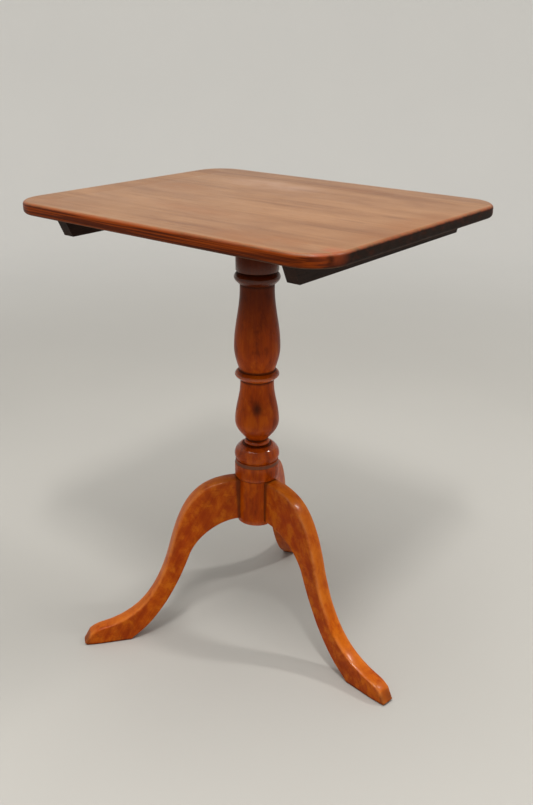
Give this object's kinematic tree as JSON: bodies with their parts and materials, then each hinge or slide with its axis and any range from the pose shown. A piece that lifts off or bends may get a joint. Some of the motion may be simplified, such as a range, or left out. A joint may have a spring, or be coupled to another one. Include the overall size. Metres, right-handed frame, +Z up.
{
  "type": "tilt top table",
  "caption": "Rectangular wooden top that tilts upright on a turned column with curved splayed legs, held level by a sliding brass catch.",
  "frame": {"origin": "on the floor, under the column's axis", "axes": "+Z up along the column, +X along the top's grain, +Y along the bearers towards the pivot"},
  "size_m": [0.5552, 0.5075, 0.7],
  "materials": {
    "wood_top": "satin, faded reddish tan",
    "wood_column": "polished, reddish brown",
    "wood_legs": "polished, orange brown",
    "wood_dark": "old dark stain, matt",
    "wood_wedge": "bare end grain",
    "brass": "aged, satin",
    "steel": "dull, slightly rusty"
  },
  "bodies": {
    "base": {"column": "wood_column", "leg_left": "wood_legs", "leg_front": "wood_legs", "leg_rear": "wood_legs", "tilt_block": "wood_dark", "tenon_wedge": "wood_wedge", "pivot_pin_left": "steel", "pivot_pin_right": "steel", "keeper_plate": "brass", "keeper_screws": "brass"},
    "top": {"top_board": "wood_top", "bearer_left": "wood_dark", "bearer_right": "wood_dark", "bearer_screws": "steel", "catch_plate": "brass", "catch_case": "brass", "catch_screws": "brass", "catch_spring": "steel"},
    "bolt": {"catch_bolt": "brass", "catch_knob": "brass"}
  },
  "joints": [
    {"name": "tilt", "type": "hinge", "parent": "base", "child": "top", "pos_m": [0, 0.0601, 0.668], "axis": [-1, 0, 0], "range_deg": [0, 90]},
    {"name": "catch_slide", "type": "slide", "parent": "top", "child": "bolt", "axis": [0, 1, 0], "range_m": [0, 0.006], "stiffness_N_per_m": 120, "springref_m": 0.012, "deforming": ["catch_spring"]}
  ]
}
